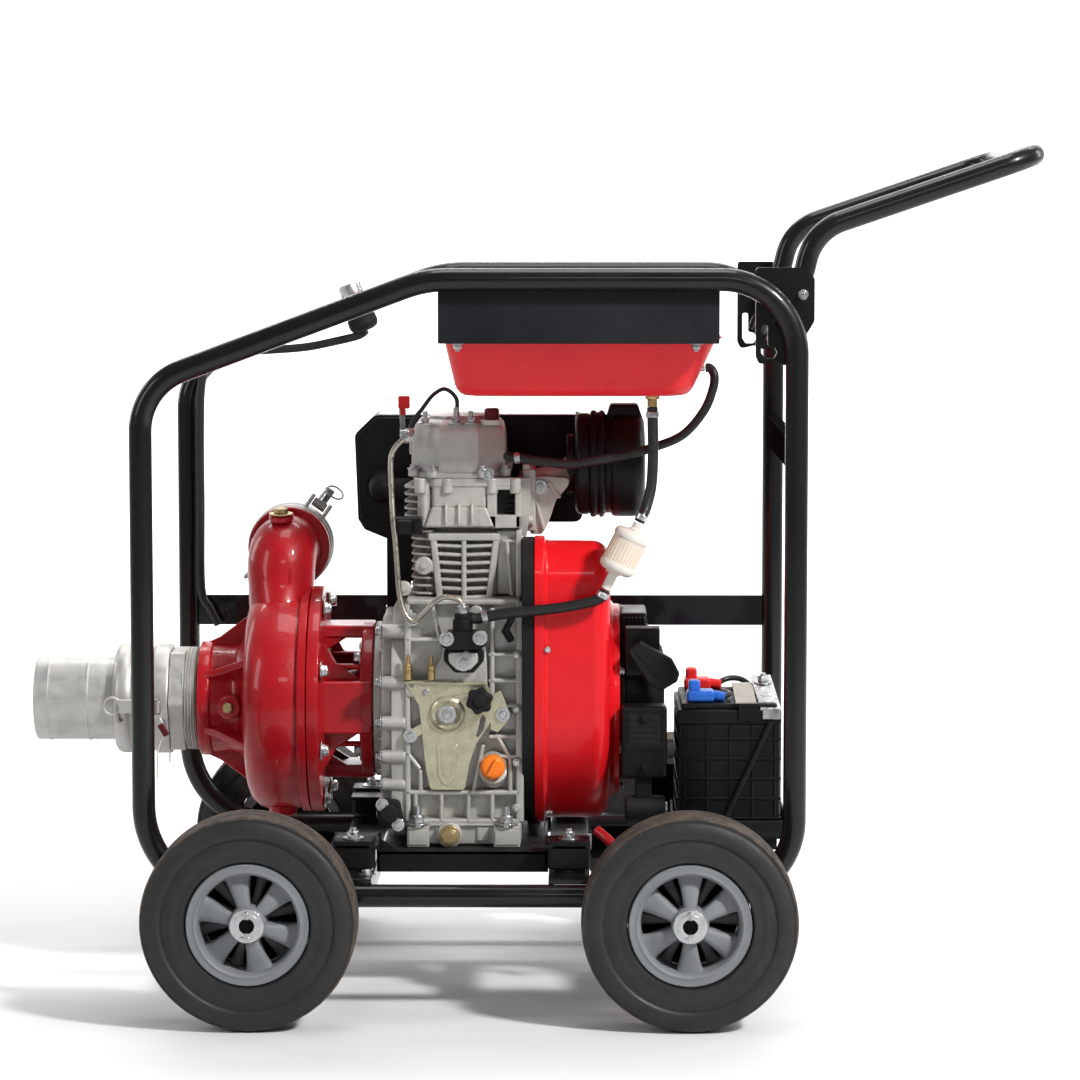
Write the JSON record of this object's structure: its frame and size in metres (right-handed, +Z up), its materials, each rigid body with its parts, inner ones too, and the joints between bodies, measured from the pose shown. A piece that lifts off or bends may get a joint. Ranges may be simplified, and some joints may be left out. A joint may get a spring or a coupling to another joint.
{
  "type": "portable fire pump",
  "caption": "Diesel engine close-coupled to a cast centrifugal fire pump, carried on a wheeled tubular frame with a folding handle.",
  "frame": {"origin": "middle of the bounding box on the ground the tyres stand on", "axes": "+X towards the carry handle, -X towards the suction, +Y towards the far side with the discharge, +Z up"},
  "size_m": [1.21, 0.728, 1.0168],
  "materials": {
    "frame_black": "gloss powder coat on bent steel pipe",
    "satin_black": "satin black paint on pressed steel",
    "pump_red": "gloss red enamel over sand-cast iron",
    "shroud_red": "gloss red paint on pressed steel",
    "tank_red": "gloss red paint on pressed steel",
    "cast_alu": "as-cast die and sand cast aluminium",
    "zinc": "bright zinc plated steel",
    "yellow_zinc": "yellow passivated zinc plate",
    "tyre_rubber": "moulded black rubber, dusty tread edge",
    "rim_grey": "grey painted cast wheel centre",
    "hose_rubber": "smooth black fuel hose",
    "mount_rubber": "matt black rubber",
    "black_plastic": "moulded black plastic",
    "orange_plastic": "moulded orange plastic",
    "filter_plastic": "milky clear plastic over pleated paper",
    "red_plastic": "moulded red plastic",
    "bronze": "cast bronze",
    "bare_steel": "machined steel"
  },
  "bodies": {
    "frame_and_engine": {"side_frame_near": "frame_black", "side_frame_far": "frame_black", "rear_cross_channel": "frame_black", "front_cross_member": "frame_black", "battery_tray": "satin_black", "axle_front": "zinc", "axle_rear": "zinc", "engine_bed": "satin_black", "crankcase": "cast_alu", "gear_cover": "cast_alu", "cylinder_block": "cast_alu", "cylinder_head": "cast_alu", "head_cover": "cast_alu", "muffler": "satin_black", "air_cleaner": "black_plastic", "intake_manifold": "cast_alu", "fan_shroud": "shroud_red", "recoil_starter": "black_plastic", "starter_motor": "satin_black", "injection_pump": "satin_black", "injection_pipe": "zinc", "speed_control_plate": "yellow_zinc", "fuel_tank": "tank_red", "fuel_feed_hose": "hose_rubber", "fuel_filter": "filter_plastic", "fuel_filter_hose": "hose_rubber", "fuel_return_hose": "hose_rubber", "battery": "black_plastic", "wiring_harness": "black_plastic", "pump_casing": "pump_red", "lantern_bracket": "pump_red", "suction_adapter": "cast_alu", "rubber_mount_front_near": "mount_rubber", "rubber_mount_front_far": "mount_rubber", "rubber_mount_rear_near": "mount_rubber", "rubber_mount_rear_far": "mount_rubber"},
    "handle": {"carry_handle": "frame_black"},
    "crank_rotor": {"crankshaft": "bare_steel", "flywheel_fan": "cast_alu", "impeller": "bronze"},
    "starter_grip": {"recoil_grip": "black_plastic"},
    "oil_cap": {"oil_filler_cap": "orange_plastic"},
    "speed_control": {"speed_lever": "yellow_zinc"},
    "decompressor": {"decompression_lever": "red_plastic"},
    "tank_cap": {"fuel_cap": "black_plastic"},
    "ignition_knob": {"ignition_switch": "zinc"},
    "suction_coupler": {"suction_coupler": "cast_alu"},
    "cam_near": {"cam_lever_near": "zinc"},
    "cam_far": {"cam_lever_far": "zinc"},
    "discharge_cap": {"discharge_cap": "cast_alu"},
    "cap_cam_upper": {"cap_lever_upper": "zinc"},
    "cap_cam_lower": {"cap_lever_lower": "zinc"},
    "wheel_front_near": {"tyre_front_near": "tyre_rubber", "wheel_hub_front_near": "rim_grey"},
    "wheel_front_far": {"tyre_front_far": "tyre_rubber", "wheel_hub_front_far": "rim_grey"},
    "wheel_rear_near": {"tyre_rear_near": "tyre_rubber", "wheel_hub_rear_near": "rim_grey"},
    "wheel_rear_far": {"tyre_rear_far": "tyre_rubber", "wheel_hub_rear_far": "rim_grey"}
  },
  "joints": [
    {"name": "roll_front_near", "type": "hinge", "parent": "frame_and_engine", "child": "wheel_front_near", "pos_m": [-0.317, -0.321, 0.125], "axis": [0, 1, 0], "continuous": true},
    {"name": "roll_front_far", "type": "hinge", "parent": "frame_and_engine", "child": "wheel_front_far", "pos_m": [-0.317, 0.321, 0.125], "axis": [0, 1, 0], "continuous": true},
    {"name": "roll_rear_near", "type": "hinge", "parent": "frame_and_engine", "child": "wheel_rear_near", "pos_m": [0.19, -0.321, 0.125], "axis": [0, 1, 0], "continuous": true},
    {"name": "roll_rear_far", "type": "hinge", "parent": "frame_and_engine", "child": "wheel_rear_far", "pos_m": [0.19, 0.321, 0.125], "axis": [0, 1, 0], "continuous": true},
    {"name": "handle_fold", "type": "hinge", "parent": "frame_and_engine", "child": "handle", "pos_m": [0.32, 0, 0.843], "axis": [0, 1, 0], "range_deg": [0, 100]},
    {"name": "crank_spin", "type": "hinge", "parent": "frame_and_engine", "child": "crank_rotor", "pos_m": [0, 0, 0.34], "axis": [1, 0, 0], "continuous": true},
    {"name": "starter_pull", "type": "slide", "parent": "frame_and_engine", "child": "starter_grip", "axis": [0, -1, 0], "range_m": [0, 0.55], "stiffness_N_per_m": 20},
    {"name": "oil_cap_turn", "type": "hinge", "parent": "frame_and_engine", "child": "oil_cap", "pos_m": [-0.0405, -0.14, 0.276], "axis": [0, -1, 0], "range_deg": [0, 330]},
    {"name": "speed_set", "type": "hinge", "parent": "frame_and_engine", "child": "speed_control", "pos_m": [-0.0948, -0.138, 0.3394], "axis": [0, 1, 0], "range_deg": [-12, 20]},
    {"name": "decompress", "type": "hinge", "parent": "frame_and_engine", "child": "decompressor", "pos_m": [-0.148, -0.084, 0.672], "axis": [1, 0, 0], "range_deg": [0, 55]},
    {"name": "tank_cap_turn", "type": "hinge", "parent": "frame_and_engine", "child": "tank_cap", "pos_m": [0.06, 0, 0.838], "axis": [0, 0, 1], "range_deg": [0, 330]},
    {"name": "ignition_turn", "type": "hinge", "parent": "frame_and_engine", "child": "ignition_knob", "pos_m": [-0.224, 0.222, 0.8205], "axis": [-0.3492, 0, 0.9371], "range_deg": [0, 90]},
    {"name": "suction_coupler_pull", "type": "slide", "parent": "frame_and_engine", "child": "suction_coupler", "axis": [-1, 0, 0], "range_m": [0, 0.07]},
    {"name": "cam_near_open", "type": "hinge", "parent": "suction_coupler", "child": "cam_near", "pos_m": [-0.452, -0.078, 0.34], "axis": [0, 0, 1], "range_deg": [0, 100]},
    {"name": "cam_far_open", "type": "hinge", "parent": "suction_coupler", "child": "cam_far", "pos_m": [-0.452, 0.078, 0.34], "axis": [0, 0, -1], "range_deg": [0, 100]},
    {"name": "discharge_cap_pull", "type": "slide", "parent": "frame_and_engine", "child": "discharge_cap", "axis": [0, 1, 0], "range_m": [0, 0.07]},
    {"name": "cap_cam_upper_open", "type": "hinge", "parent": "discharge_cap", "child": "cap_cam_upper", "pos_m": [-0.26115, 0.066, 0.5742], "axis": [0.8192, 0, -0.5736], "range_deg": [-26, 25]},
    {"name": "cap_cam_lower_open", "type": "hinge", "parent": "discharge_cap", "child": "cap_cam_lower", "pos_m": [-0.34119, 0.066, 0.47881], "axis": [-0.7071, 0, 0.7071], "range_deg": [0, 55]}
  ]
}
